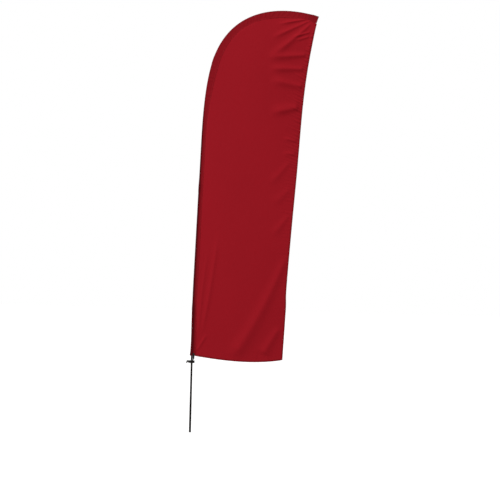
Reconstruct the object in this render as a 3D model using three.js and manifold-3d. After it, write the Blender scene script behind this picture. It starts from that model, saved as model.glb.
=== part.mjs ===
// Feather flag with its pole: a sectional pole bent over at the top inside the flag's sleeve,
// a clamp collar that slides on the lowest section, and an elastic loop that ties the flag to it.
// Millimetres, +Z up. The origin is the middle of the pole's butt end, and the panel hangs towards +X.

import * as THREE from 'three';
import { mergeVertices } from 'three/addons/utils/BufferGeometryUtils.js';
import Module from 'manifold-3d';

const wasm = await Module();
wasm.setup();

// ---- Driving dimensions ----

const GAP = 0.3;                 // kept between pieces that touch
const STATION = 50;              // spacing of the cross-sections along a bent piece
const DEG = Math.PI / 180;

// The pole line: upright, a slight lean, then the arch. Points are x, z.
const LEAN = 1.7 * DEG;
const UPRIGHT_TOP = 1050;
const LEAN_START = [3.6, 1300];
const ARCH_START = [35.5, 2400];
const SHOULDER = [165, 3298];
const SHOULDER_ANGLE = 27.1 * DEG;
const POLE_END = [994, 3574];
const POLE_END_ANGLE = 108.6 * DEG;
const BEND_HANDLES = [110, 110];
const ARCH_HANDLES = [266, 250];
const CROWN_HANDLES = [485, 97];

// Pole sections: start and end along the pole, outer radius and bore radius at each of those ends.
const BASE_SECTION = { from: 95, to: 1050, outer: [9.05, 7.2], bore: [7.1, 6.2] };
const LOWER_SECTION = { from: 950, to: 2100, outer: [5.8, 5.2], bore: [4.8, 4.3] };
const UPPER_SECTION = { from: 2000, to: 3200, outer: [4, 3.6], bore: [3, 2.9] };
const TIP_SECTION = { from: 3100, outer: [2.55, 2] };
const FERRULE_LENGTH = 30;
const FERRULE_WALL = 0.9;

// Bush in the butt end, which turns on the spindle of whatever holds the pole.
const SOCKET_RADIUS = 5.7;
const BUSH_RADIUS = 6.7;
const BUSH_LENGTH = 80;
const FLANGE_RADIUS = 9.8;
const FLANGE_HEIGHT = 4;

// Butt socket: the end fitting round the bush, flush with the pole and plugged into its lowest section
const BUTT_RADIUS = 9.2;
const BUTT_BORE = 7;
const BUTT_BORE_TOP = 88;
const BUTT_PLUG_RADIUS = 6.7;
const BUTT_PLUG_TOP = 125;
const BUTT_PLUG_BORE = 5;

// Sleeve: a flattened tube round the pole, whose inner border is the seam to the panel.
const SLEEVE_RADIUS = 12;
const SLEEVE_WALL = 1.6;
const SEAM_STRAIGHT = 24;        // from the pole line to the seam, on the straight
const SEAM_ARCH = 48;            // and round the arch
const SEAM_GROWS = [2500, 3150];
const SEAM_THICKNESS = 2;
const SEAM_GAP = 1;              // between the sleeve's seam and the panel's border
const MOUTH = 655;
const CUFF_HEIGHT = 25;
const POCKET_LENGTH = 75;
const POCKET_PAST_TIP = 15;

// Flag panel and its hems
const CLOTH = 1.2;
const HEM_WIDTH = 15;
const HEM_THICKNESS = 2.4;
const BELLY = -22;
const FLUTTER = 14;
const BOTTOM_EDGE = [[25, 652], [270, 617], [520, 590], [774, 634]];
const TRAILING_EDGE = [
  [774, 634], [792, 1060], [793, 1250], [823, 1750], [859, 2260],
  [891, 2775], [926, 3118], [979, 3444], [1009, 3564],
];
const TRAILING_HEM_TOP = 0.982;  // share of the trailing edge's length
const BOTTOM_HEM_END = 0.976;    // share of the bottom edge's length

// Clamp collar with its hook, screw and nut
const COLLAR_Z = 603;
const COLLAR_HALF = 12;
const COLLAR_RADIUS = 13.5;
const COLLAR_BORE = 10.5;
const LINER_RADIUS = 10.2;
const LINER_BORE = 8.5;
const SLIT = 2.4;
const EAR_REACH = 24.5;
const EAR_HALF_DEPTH = 8;
const HOOK_REACH = 45.5;
const HOOK_DEPTH = 9;
const SCREW_X = 17.2;
const SCREW_RADIUS = 2.4;
const SCREW_HOLE = 2.8;
const SCREW_END = 14;
const KNOB_RADIUS = 7.6;
const NUT_RADIUS = 4.7;
const NUT_THICKNESS = 4;

// Elastic loop and the webbing tab that holds its two ends
const CORD_RADIUS = 2.5;
const CORD_HOLE = 3;
const CORD_END_Z = 643;
const TAB_X = [8.6, 22.8];
const TAB_HALF_DEPTH = 4.2;
const TAB_BOTTOM = 630;
const CORD_END_X = [12.6, 18.5];

// ---- The pole line ----

const point = ([x, z]) => new THREE.Vector3(x, 0, z);

// A Bezier curve between two points whose end directions are angles from upright.
function bend(start, startAngle, end, endAngle, [first, second]) {
  const a = point(start);
  const b = point(end);
  const out = new THREE.Vector3(Math.sin(startAngle), 0, Math.cos(startAngle));
  const into = new THREE.Vector3(Math.sin(endAngle), 0, Math.cos(endAngle));
  const leaving = a.clone().addScaledVector(out, first);
  const arriving = b.clone().addScaledVector(into, -second);
  return new THREE.CubicBezierCurve3(a, leaving, arriving, b);
}

const poleLine = new THREE.CurvePath();
poleLine.add(new THREE.LineCurve3(point([0, 0]), point([0, UPRIGHT_TOP])));
poleLine.add(bend([0, UPRIGHT_TOP], 0, LEAN_START, LEAN, BEND_HANDLES));
poleLine.add(new THREE.LineCurve3(point(LEAN_START), point(ARCH_START)));
poleLine.add(bend(ARCH_START, LEAN, SHOULDER, SHOULDER_ANGLE, ARCH_HANDLES));
poleLine.add(bend(SHOULDER, SHOULDER_ANGLE, POLE_END, POLE_END_ANGLE, CROWN_HANDLES));
const POLE_LENGTH = poleLine.getLength();

// The point at a distance along the pole, moved off it by x towards the panel and by y.
function besidePole(s, x, y) {
  const inside = THREE.MathUtils.clamp(s, 0, POLE_LENGTH);
  const centre = poleLine.getPoint(inside / POLE_LENGTH);
  const along = poleLine.getTangent(inside / POLE_LENGTH);
  const across = new THREE.Vector3(along.z, 0, -along.x);
  centre.addScaledVector(along, s - inside);
  centre.addScaledVector(across, x);
  centre.y += y;
  return centre;
}

// Distances along the pole from one to another: the ends, and every STATION between them.
function stations(from, to) {
  const list = [from];
  for (let s = (Math.floor(from / STATION) + 1) * STATION; s < to - 1; s += STATION) {
    const straight = s < UPRIGHT_TOP || (s > LEAN_START[1] && s < ARCH_START[1]);
    if (!straight) {
      list.push(s);
    }
  }
  list.push(to);
  return list;
}

// ---- Helpers for geometry ----

// Moves every vertex of a geometry to where place(x, y, z) says.
function warp(geometry, place) {
  const position = geometry.attributes.position;
  for (let i = 0; i < position.count; i += 1) {
    const moved = place(position.getX(i), position.getY(i), position.getZ(i));
    position.setXYZ(i, moved.x, moved.y, moved.z);
  }
  geometry.computeVertexNormals();
  return geometry;
}

// Bends a piece made along +Z, so that its height becomes the distance along the pole.
const bendAlong = (geometry) => warp(geometry, (x, y, z) => besidePole(z, x, y));

// A body of revolution about +Z. The profile is a list of radius and height.
function turned(profile, sides) {
  const points = profile.map(([radius, height]) => new THREE.Vector2(radius, height));
  return new THREE.LatheGeometry(points, sides).rotateX(Math.PI / 2);
}

// A tube about +Z, from its outer and inner profiles, both listed upwards.
const ring = (outer, inner, sides) => turned([...outer, ...inner.toReversed(), outer[0]], sides);

function toSolid(geometry) {
  const bare = geometry.clone();
  bare.deleteAttribute('normal');
  bare.deleteAttribute('uv');
  const merged = mergeVertices(bare, 1e-4);
  const vertProperties = new Float32Array(merged.attributes.position.array);
  const triVerts = new Uint32Array(merged.index.array);
  return new wasm.Manifold(new wasm.Mesh({ numProp: 3, vertProperties, triVerts }));
}

function toGeometry(solid) {
  const { vertProperties, triVerts } = solid.getMesh();
  const geometry = new THREE.BufferGeometry();
  geometry.setAttribute('position', new THREE.BufferAttribute(new Float32Array(vertProperties), 3));
  geometry.setIndex([...triVerts]);
  geometry.computeVertexNormals();
  return geometry;
}

// A block between two corners
function block([x0, y0, z0], [x1, y1, z1]) {
  const box = new THREE.BoxGeometry(x1 - x0, y1 - y0, z1 - z0);
  return box.translate((x0 + x1) / 2, (y0 + y1) / 2, (z0 + z1) / 2);
}

// A cylinder along Y, from y0 to y1
function crossPin(radius, x, z, y0, y1, sides) {
  return new THREE.CylinderGeometry(radius, radius, y1 - y0, sides).translate(x, (y0 + y1) / 2, z);
}

// An outline drawn in x and z, given a depth along Y and centred on it
function plate(shape, depth, curveSegments) {
  const geometry = new THREE.ExtrudeGeometry(shape, { depth, bevelEnabled: false, curveSegments });
  return geometry.rotateX(Math.PI / 2).translate(0, depth / 2, 0);
}

// ---- Materials ----

const finish = (color, roughness, metalness = 0) => new THREE.MeshStandardMaterial({
  color, roughness, metalness,
});
const clothRed = () => finish(0x931620, 0.8);
const seamRed = () => finish(0x7a0c14, 0.85);
const poleBlack = () => finish(0x211d1a, 0.45);
const plasticBlack = () => finish(0x2a2624, 0.5);
const rubberBlack = () => finish(0x151313, 0.9);
const webbingBlack = () => finish(0x1b1817, 0.95);
const steel = () => finish(0xa8a8a8, 0.35, 1);
const alloy = () => finish(0x8f9092, 0.4, 1);
const nylon = () => finish(0x3a3836, 0.55);

const flag = new THREE.Group();

function add(name, geometry, material, parent = flag) {
  const mesh = new THREE.Mesh(geometry, material);
  mesh.name = name;
  parent.add(mesh);
  return mesh;
}

// ---- The pole ----

// The outer or bore radius of a section at each station
function taper(section, radii, places) {
  const span = section.to - section.from;
  return places.map((s) => {
    const share = (s - section.from) / span;
    return [THREE.MathUtils.lerp(radii[0], radii[1], share), s];
  });
}

function tubeSection(section, sides) {
  const places = stations(section.from, section.to);
  return bendAlong(ring(taper(section, section.outer, places), taper(section, section.bore, places), sides));
}

// The solid thin rod at the top
function rodSection(section, sides) {
  const places = stations(section.from, section.to);
  const side = taper(section, section.outer, places);
  return bendAlong(turned([[0, section.from], ...side, [0, section.to]], sides));
}

// The metal ring shrunk round the mouth of a section
function ferrule(section, sides) {
  const top = section.to - GAP;
  const bottom = top - FERRULE_LENGTH;
  const [[widest]] = taper(section, section.outer, [bottom]);
  const skin = widest + GAP;
  const places = stations(bottom, top);
  const outer = places.map((s) => [skin + FERRULE_WALL, s]);
  const inner = places.map((s) => [skin, s]);
  return bendAlong(ring(outer, inner, sides));
}

function bush(sides) {
  const tube = BUSH_LENGTH + FLANGE_HEIGHT;
  const outer = [
    [FLANGE_RADIUS - 0.6, 0], [FLANGE_RADIUS, 0.6], [FLANGE_RADIUS, FLANGE_HEIGHT],
    [BUSH_RADIUS, FLANGE_HEIGHT], [BUSH_RADIUS, tube],
  ];
  return ring(outer, [[SOCKET_RADIUS, 0], [SOCKET_RADIUS, tube]], sides);
}

function buttSocket(sides) {
  const from = FLANGE_HEIGHT + GAP;
  const shoulder = BASE_SECTION.from - GAP;
  const outer = [
    [BUTT_RADIUS, from], [BASE_SECTION.outer[0], shoulder],
    [BUTT_PLUG_RADIUS, shoulder], [BUTT_PLUG_RADIUS, BUTT_PLUG_TOP],
  ];
  const inner = [
    [BUTT_BORE, from], [BUTT_BORE, BUTT_BORE_TOP],
    [BUTT_PLUG_BORE, BUTT_BORE_TOP], [BUTT_PLUG_BORE, BUTT_PLUG_TOP],
  ];
  return ring(outer, inner, sides);
}

// The rounded plastic button on the end of the thin rod, which keeps it from cutting the cloth
function tipCap(rodRadius, sides) {
  const skirt = 26;
  const inside = rodRadius + GAP;
  const outside = inside + 1.6;
  const top = POLE_LENGTH + GAP;
  const profile = [
    [inside, top - skirt], [outside, top - skirt], [outside, top + 2], [outside * 0.8, top + 4.2],
    [outside * 0.4, top + 5.4], [0, top + 5.8], [0, top], [inside, top], [inside, top - skirt],
  ];
  return bendAlong(turned(profile, sides));
}

// ---- Sleeve, cuff and tip pocket ----

// The seam's distance from the pole line
function seamAt(s) {
  const grown = THREE.MathUtils.smoothstep(s, SEAM_GROWS[0], SEAM_GROWS[1]);
  return THREE.MathUtils.lerp(SEAM_STRAIGHT, SEAM_ARCH, grown);
}

// The teardrop section of the sleeve: round the pole, then tapering to the seam
function teardrop(path, radius, seam, edge, sides) {
  const turn = Math.acos(radius / SEAM_STRAIGHT);
  path.moveTo(seam, edge);
  for (let i = 0; i <= sides; i += 1) {
    const angle = turn + (2 * (Math.PI - turn) * i) / sides;
    path.lineTo(radius * Math.cos(angle), radius * Math.sin(angle));
  }
  if (edge > 0) {
    path.lineTo(seam, -edge);
  }
  path.closePath();
  return path;
}

const SLEEVE_SIDES = 9;
const outerDrop = () => teardrop(
  new THREE.Shape(), SLEEVE_RADIUS, SEAM_STRAIGHT, SEAM_THICKNESS / 2, SLEEVE_SIDES,
);
const innerDrop = () => teardrop(
  new THREE.Path(), SLEEVE_RADIUS - SLEEVE_WALL, SEAM_STRAIGHT - 4, 0, SLEEVE_SIDES,
);

// Extrudes a section between two distances, widens it to the seam line and bends it round the pole
function sleevePiece(shape, from, to) {
  const places = stations(from, to);
  const steps = places.length - 1;
  const straight = new THREE.ExtrudeGeometry(shape, { depth: steps, steps, bevelEnabled: false });
  return warp(straight, (x, y, z) => {
    const s = places[Math.round(z)];
    const widened = x > 0 ? (x * seamAt(s)) / SEAM_STRAIGHT : x;
    return besidePole(s, widened, y);
  });
}

function sleeveTube(from, to) {
  const shape = outerDrop();
  shape.holes.push(innerDrop());
  return sleevePiece(shape, from, to);
}

// The pocket is closed past the pole's tip, so its hollow stops short of its end.
function tipPocket(from, to) {
  const whole = toSolid(sleevePiece(outerDrop(), from, to));
  const hollow = toSolid(sleevePiece(new THREE.Shape(innerDrop().getPoints()), from - 5, to - 5));
  return toGeometry(whole.subtract(hollow));
}

// ---- Panel and hems ----

const flat = (points) => points.map(([x, z]) => new THREE.Vector2(x, z));
const bottomEdge = new THREE.CubicBezierCurve(...flat(BOTTOM_EDGE));
const trailingEdge = new THREE.SplineCurve(flat(TRAILING_EDGE));
const PANEL_FROM = MOUTH + HEM_WIDTH;
const PANEL_TO = POLE_LENGTH - 6;

// How far the cloth stands off the pole's plane: u runs from the seam to the trailing edge, v upwards
function billow(u, v) {
  const belly = BELLY * Math.sin(Math.PI * u) * Math.sin(Math.PI * (0.1 + 0.8 * v));
  const flutter = FLUTTER * u * u * Math.sin(Math.PI * (3 * v + 0.4));
  return belly + flutter;
}

// A point on an edge curve, moved in from the outline by a distance
function insetPoint(curve, t, inset) {
  const place = curve.getPointAt(t);
  const along = curve.getTangentAt(t);
  return new THREE.Vector2(place.x - along.y * inset, place.y + along.x * inset);
}

// A thin closed sheet over u and v, both from 0 to 1. at(u, v) gives x, z and how far it stands off.
function sheet(columns, rows, thickness, at) {
  const slab = new THREE.BoxGeometry(1, 1, 1, columns, 1, rows);
  return warp(slab, (x, y, z) => {
    const [px, pz, off] = at(x + 0.5, z + 0.5);
    return new THREE.Vector3(px, off + y * thickness, pz);
  });
}

function panelPoint(u, v) {
  const inset = HEM_WIDTH + SEAM_GAP;
  const s = THREE.MathUtils.lerp(PANEL_FROM, PANEL_TO, v);
  const luff = besidePole(s, seamAt(s) + SEAM_GAP, 0);
  const trail = insetPoint(trailingEdge, v * TRAILING_HEM_TOP, inset);
  const left = besidePole(PANEL_FROM, seamAt(PANEL_FROM) + SEAM_GAP, 0);
  const right = insetPoint(trailingEdge, 0, inset);
  const hem = insetPoint(bottomEdge, u * BOTTOM_HEM_END, inset);
  const sag = hem.y - THREE.MathUtils.lerp(left.z, right.y, u);
  const x = THREE.MathUtils.lerp(luff.x, trail.x, u);
  const z = THREE.MathUtils.lerp(luff.z, trail.y, u);
  return [x, z + sag * (1 - v) ** 4, billow(u, v)];
}

function trailingPoint(u, v) {
  const t = v * TRAILING_HEM_TOP;
  const place = insetPoint(trailingEdge, t, HEM_WIDTH * (1 - u));
  return [place.x, place.y, billow(1, v)];
}

function bottomPoint(u, v) {
  const place = insetPoint(bottomEdge, u * BOTTOM_HEM_END, HEM_WIDTH * v);
  return [place.x, place.y, billow(u, 0)];
}

// ---- Collar, liner, screw and nut, all about the collar's middle ----

function hookShape() {
  const hook = new THREE.Shape();
  const under = -3;
  const tip = -HOOK_REACH;
  const throat = tip + 8;
  const root = -25.5;
  hook.moveTo(-11, 11);
  hook.lineTo(-36, 11);
  hook.quadraticCurveTo(tip, 11, tip, 1);
  hook.lineTo(tip, -10.5);
  hook.quadraticCurveTo(tip, -14.5, tip + 4, -14.5);
  hook.quadraticCurveTo(throat, -14.5, throat, -10.5);
  hook.lineTo(throat, under - 3.5);
  hook.quadraticCurveTo(throat, under, throat + 3.5, under);
  hook.lineTo(root - 3.5, under);
  hook.quadraticCurveTo(root, under, root, under - 3.5);
  hook.lineTo(root, -11);
  hook.lineTo(-11, -11);
  return hook;
}

function collar() {
  const sides = 32;
  const chamfer = 1.2;
  const outline = [
    [COLLAR_RADIUS - chamfer, -COLLAR_HALF], [COLLAR_RADIUS, chamfer - COLLAR_HALF],
    [COLLAR_RADIUS, COLLAR_HALF - chamfer], [COLLAR_RADIUS - chamfer, COLLAR_HALF],
  ];
  const drum = toSolid(turned([[0, -COLLAR_HALF], ...outline, [0, COLLAR_HALF]], sides));
  const hook = toSolid(plate(hookShape(), HOOK_DEPTH, 5));
  const ears = toSolid(block([8, -EAR_HALF_DEPTH, -11], [EAR_REACH, EAR_HALF_DEPTH, 11]));
  const bore = toSolid(turned([[0, -20], [COLLAR_BORE, -20], [COLLAR_BORE, 20], [0, 20]], sides));
  const slit = toSolid(block([5, -SLIT / 2, -20], [EAR_REACH + 5, SLIT / 2, 20]));
  const hole = toSolid(crossPin(SCREW_HOLE, SCREW_X, 0, -20, 20, 16));
  return toGeometry(drum.add(hook).add(ears).subtract(bore).subtract(slit).subtract(hole));
}

// A rubber strip bent into a ring that is open at the slit
function liner() {
  const sides = 24;
  const half = COLLAR_HALF - 1;
  const whole = toSolid(ring(
    [[LINER_RADIUS, -half], [LINER_RADIUS, half]], [[LINER_BORE, -half], [LINER_BORE, half]], sides,
  ));
  return toGeometry(whole.subtract(toSolid(block([0, -SLIT / 2, -20], [20, SLIT / 2, 20]))));
}

// A two-winged knob on a shank that runs back through both ears
function clampScrew() {
  const face = -EAR_HALF_DEPTH - GAP;
  const shank = toSolid(crossPin(SCREW_RADIUS, 0, 0, face - 1, SCREW_END, 12));
  const hub = toSolid(crossPin(5, 0, 0, face - 9, face, 20));
  const wings = new THREE.Shape();
  wings.moveTo(-3, -3);
  wings.lineTo(3, -3);
  wings.absarc(KNOB_RADIUS - 3, 0, 3, -Math.PI / 2, Math.PI / 2);
  wings.lineTo(-3, 3);
  wings.absarc(3 - KNOB_RADIUS, 0, 3, Math.PI / 2, 1.5 * Math.PI);
  const bar = toSolid(plate(wings, 6, 6).translate(0, face - 6, 0));
  return toGeometry(shank.add(hub).add(bar));
}

function clampNut() {
  const from = EAR_HALF_DEPTH + GAP;
  const body = toSolid(crossPin(NUT_RADIUS, 0, 0, from, from + NUT_THICKNESS, 6));
  const hole = toSolid(crossPin(SCREW_HOLE, 0, 0, from - 1, from + NUT_THICKNESS + 1, 12));
  return toGeometry(body.subtract(hole));
}

// ---- Elastic loop and tab ----

// From the tab, down in front of the pole and the collar, under the hook, and back up behind them
const LOOP_ROUTE = [
  [CORD_END_X[0], 0, CORD_END_Z],
  [CORD_END_X[0], 0, 637],
  [CORD_END_X[0], 0, 631],
  [CORD_END_X[0], -1.8, 625.8],
  [11, -9, 621],
  [4, -16.8, 616.5],
  [-8, -17.2, 610.5],
  [-20, -13.6, 604.5],
  [-27.5, -8.8, 599],
  [-29.5, 0, 595],
  [-27.5, 8.8, 599],
  [-20, 13.6, 604.5],
  [-8, 17.2, 610.5],
  [4, 16.8, 616.5],
  [14, 11, 620.5],
  [CORD_END_X[1], 2.6, 625.2],
  [CORD_END_X[1], 0, 631],
  [CORD_END_X[1], 0, 637],
  [CORD_END_X[1], 0, CORD_END_Z],
];

function elasticLoop() {
  const route = new THREE.CatmullRomCurve3(LOOP_ROUTE.map((p) => new THREE.Vector3(...p)));
  const section = new THREE.Shape();
  section.absarc(0, 0, CORD_RADIUS, 0, 2 * Math.PI);
  return new THREE.ExtrudeGeometry(section, { extrudePath: route, steps: 48, curveSegments: 4 });
}

function loopTab() {
  const top = MOUTH - GAP;
  let tab = toSolid(block([TAB_X[0], -TAB_HALF_DEPTH, TAB_BOTTOM], [TAB_X[1], TAB_HALF_DEPTH, top]));
  const mouth = TAB_BOTTOM - 1;
  const depth = CORD_END_Z + 1;
  for (const x of CORD_END_X) {
    const bore = turned([[0, mouth], [CORD_HOLE, mouth], [CORD_HOLE, depth], [0, depth]], 12);
    tab = tab.subtract(toSolid(bore.translate(x, 0, 0)));
  }
  return toGeometry(tab);
}

// ---- Assembly ----

TIP_SECTION.to = POLE_LENGTH;
const sections = [
  ['base_section', BASE_SECTION, 20, 'lower_joint_ferrule'],
  ['lower_mid_section', LOWER_SECTION, 12, 'middle_joint_ferrule'],
  ['upper_mid_section', UPPER_SECTION, 12, 'upper_joint_ferrule'],
];
add('bearing_bush', bush(24), nylon());
add('butt_socket', buttSocket(24), plasticBlack());
for (const [name, section, sides, ferruleName] of sections) {
  add(name, tubeSection(section, sides), poleBlack());
  add(ferruleName, ferrule(section, sides), alloy());
}
add('tip_section', rodSection(TIP_SECTION, 8), poleBlack());
add('tip_cap', tipCap(TIP_SECTION.outer[1], 8), plasticBlack());

const cuffTop = MOUTH + CUFF_HEIGHT;
const pocketFrom = POLE_LENGTH - POCKET_LENGTH;
add('sleeve_cuff', sleeveTube(MOUTH, cuffTop), seamRed());
add('pole_sleeve', sleeveTube(cuffTop + GAP, pocketFrom - GAP), clothRed());
add('tip_pocket', tipPocket(pocketFrom, POLE_LENGTH + POCKET_PAST_TIP), seamRed());
add('flag_panel', sheet(10, 26, CLOTH, panelPoint), clothRed());
add('trailing_hem', sheet(1, 26, HEM_THICKNESS, trailingPoint), seamRed());
add('bottom_hem', sheet(12, 1, HEM_THICKNESS, bottomPoint), seamRed());

const collarGroup = new THREE.Group();
collarGroup.position.z = COLLAR_Z;
flag.add(collarGroup);
add('tension_collar', collar(), plasticBlack(), collarGroup);
add('collar_liner', liner(), rubberBlack(), collarGroup);
const screwGroup = new THREE.Group();
screwGroup.position.x = SCREW_X;
collarGroup.add(screwGroup);
add('clamp_screw', clampScrew(), plasticBlack(), screwGroup);
add('clamp_nut', clampNut(), steel(), screwGroup);

add('elastic_loop', elasticLoop(), rubberBlack());
add('loop_tab', loopTab(), webbingBlack());

export default flag;
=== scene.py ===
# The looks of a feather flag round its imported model: the cloth with its folds, hems and stitching,
# the pole's tubes and fittings, and the elastic loop. Metres, in the model's own frame: +Z up, the
# panel hanging towards +X, and -Y the front face.

import math

import bmesh
import bpy
import numpy as np
from mathutils import Matrix, Vector


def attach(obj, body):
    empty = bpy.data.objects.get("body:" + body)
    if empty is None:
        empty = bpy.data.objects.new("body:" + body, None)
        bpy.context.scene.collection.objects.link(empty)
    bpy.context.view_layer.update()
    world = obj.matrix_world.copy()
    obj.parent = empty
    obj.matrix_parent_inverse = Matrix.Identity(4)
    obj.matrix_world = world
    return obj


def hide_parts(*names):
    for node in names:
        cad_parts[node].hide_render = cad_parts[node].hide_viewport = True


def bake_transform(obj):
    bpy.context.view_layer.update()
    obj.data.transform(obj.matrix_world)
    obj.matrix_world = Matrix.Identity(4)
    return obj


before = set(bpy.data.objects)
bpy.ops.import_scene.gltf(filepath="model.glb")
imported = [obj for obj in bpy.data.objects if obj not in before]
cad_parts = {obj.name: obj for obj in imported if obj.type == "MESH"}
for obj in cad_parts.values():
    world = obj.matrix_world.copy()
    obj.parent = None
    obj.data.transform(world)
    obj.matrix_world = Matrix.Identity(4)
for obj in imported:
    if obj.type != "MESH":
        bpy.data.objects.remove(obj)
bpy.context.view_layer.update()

MM = 0.001
SEED = 20
random = np.random.default_rng(SEED)


def add_object(name, data):
    thing = bpy.data.objects.new(name, data)
    bpy.context.scene.collection.objects.link(thing)
    return thing


# ---- Camera, light and floor ----

CAMERA_PLACE = (0.473, -12, 1.5686)
CAMERA_ROLL = math.radians(1.48)
CAMERA_LENS = 101.2              # mm, with a sensor 36 mm wide
KEY_PLACE = (-26.0, -26.0, 26.0)
KEY_TARGET = (0.45, 0, 2.0)
KEY_SIZE = 8.0
KEY_POWER = 13300
SKY_CAST = 0.64                  # the surround's strength where it lights things
FLOOR_HALF = 24
FLOOR_GREY = 0.3
FLOOR_SEEN = 0.9                 # the floor's glow where it is looked at


def make_camera():
    """Looks level at the flag's front, and is rolled a little, so that the pole leans to the right."""
    forward = Vector((0, 1, 0))
    up = Vector((-math.sin(CAMERA_ROLL), 0, math.cos(CAMERA_ROLL)))
    right = forward.cross(up)
    data = bpy.data.cameras.new("camera")
    data.sensor_width = 36
    data.lens = CAMERA_LENS
    camera = add_object("camera", data)
    turn = Matrix((right, up, -forward)).transposed().to_4x4()
    camera.matrix_world = Matrix.Translation(CAMERA_PLACE) @ turn
    bpy.context.scene.camera = camera


def make_key_light():
    """One large soft light, high up to the left of the camera and behind it."""
    data = bpy.data.lights.new("key", "AREA")
    data.size = KEY_SIZE
    data.energy = KEY_POWER
    light = add_object("key", data)
    light.location = KEY_PLACE
    aim = Vector(KEY_TARGET) - Vector(KEY_PLACE)
    light.rotation_euler = aim.to_track_quat("-Z", "Y").to_euler()


def seen_and_cast(tree, socket, seen, cast):
    """Feeds a strength that is one value where it is looked at, and another where it lights things."""
    path = tree.nodes.new("ShaderNodeLightPath")
    strength = tree.nodes.new("ShaderNodeMapRange")
    strength.inputs["To Min"].default_value = cast
    strength.inputs["To Max"].default_value = seen
    tree.links.new(path.outputs["Is Camera Ray"], strength.inputs["Value"])
    tree.links.new(strength.outputs["Result"], socket)


def make_world():
    """A surround that shows white and lights things a little less than that."""
    world = bpy.data.worlds.new("studio")
    world.use_nodes = True
    background = world.node_tree.nodes["Background"]
    background.inputs["Color"].default_value = (1, 1, 1, 1)
    seen_and_cast(world.node_tree, background.inputs["Strength"], 1.0, SKY_CAST)
    bpy.context.scene.world = world


def make_floor():
    """A floor that shows pale but throws little light back, so that the folds keep their shade."""
    half = FLOOR_HALF
    mesh = bpy.data.meshes.new("floor")
    corners = [(-half, -half, 0), (half, -half, 0), (half, half, 0), (-half, half, 0)]
    mesh.from_pydata(corners, [], [(0, 1, 2, 3)])
    look = bpy.data.materials.new("studio_floor")
    look.use_nodes = True
    shader = look.node_tree.nodes["Principled BSDF"]
    shader.inputs["Base Color"].default_value = (FLOOR_GREY, FLOOR_GREY, FLOOR_GREY, 1)
    shader.inputs["Roughness"].default_value = 1
    shader.inputs["Specular IOR Level"].default_value = 0
    shader.inputs["Emission Color"].default_value = (1, 1, 1, 1)
    seen_and_cast(look.node_tree, shader.inputs["Emission Strength"], FLOOR_SEEN, 0.0)
    mesh.materials.append(look)
    add_object("floor", mesh)


make_camera()
bpy.context.scene.view_settings.view_transform = "Standard"
make_world()
make_key_light()
make_floor()


# ---- Materials ----

class Look:
    """A material and the nodes that feed its Principled shader."""

    def __init__(self, name, roughness, **sockets):
        self.material = bpy.data.materials.new(name)
        self.material.use_nodes = True
        self.tree = self.material.node_tree
        self.shader = self.tree.nodes["Principled BSDF"]
        self.shader.inputs["Roughness"].default_value = roughness
        for socket, value in sockets.items():
            self.shader.inputs[socket.replace("_", " ")].default_value = value
        self.places = self.tree.nodes.new("ShaderNodeTexCoord")

    def add(self, kind, values=None, **settings):
        node = self.tree.nodes.new("ShaderNode" + kind)
        for key, value in settings.items():
            setattr(node, key, value)
        for key, value in (values or {}).items():
            self.put(node.inputs[key], value)
        return node

    def put(self, socket, value):
        """Feeds a socket from another node's output, or gives it a plain value."""
        if isinstance(value, bpy.types.NodeSocket):
            self.tree.links.new(value, socket)
        else:
            socket.default_value = value

    def feed(self, socket, output):
        self.tree.links.new(output, self.shader.inputs[socket])

    def noise(self, scale, detail=2.0, space="Object", stretch=(1, 1, 1)):
        """Noise from 0 to 1, stretched along an axis if stretch is below 1 there."""
        mapping = self.add("Mapping", {"Vector": self.places.outputs[space], "Scale": stretch})
        values = {"Vector": mapping.outputs["Vector"], "Scale": scale, "Detail": detail}
        return self.add("TexNoise", values).outputs["Fac"]

    def bands(self, period, direction):
        """Even ribs across a direction of the UV map, period metres apart."""
        values = {"Vector": self.places.outputs["UV"], "Scale": 2 * math.pi / (20 * period)}
        return self.add("TexWave", values, bands_direction=direction).outputs["Fac"]

    def math(self, operation, first, second):
        return self.add("Math", {0: first, 1: second}, operation=operation).outputs["Value"]

    def scaled(self, value, low, high, start=0.0, end=1.0):
        values = {"Value": value, "From Min": start, "From Max": end, "To Min": low, "To Max": high}
        return self.add("MapRange", values).outputs["Result"]

    def blend(self, amount, first, second):
        """A colour between two, each an (r, g, b) or another node's colour."""
        colours = [(*part, 1) if isinstance(part, tuple) else part for part in (first, second)]
        values = {"Factor": amount, 6: colours[0], 7: colours[1]}
        return self.add("Mix", values, data_type="RGBA").outputs[2]

    def bump(self, height, depth, strength):
        values = {"Height": height, "Distance": depth, "Strength": strength}
        self.feed("Normal", self.add("Bump", values).outputs["Normal"])


def shade(colour, by):
    return tuple(part * by for part in colour)


CLOTH_RED = (0.31, 0.0058, 0.0125)
# The hem red: the flag red painted darker, as painted shade for the folded double layer, which gets no
# light through it from behind.
HEM_RED_SHADED = (0.235, 0.0038, 0.0085)
POLE_BLACK = (0.0105, 0.0082, 0.0066)
THREAD_PITCH = 0.9 * MM
YARN_PITCH = 3.2 * MM            # one turn of the braid's yarns, along the elastic cord
YARNS = 4                        # in each of the braid's two sets


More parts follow.
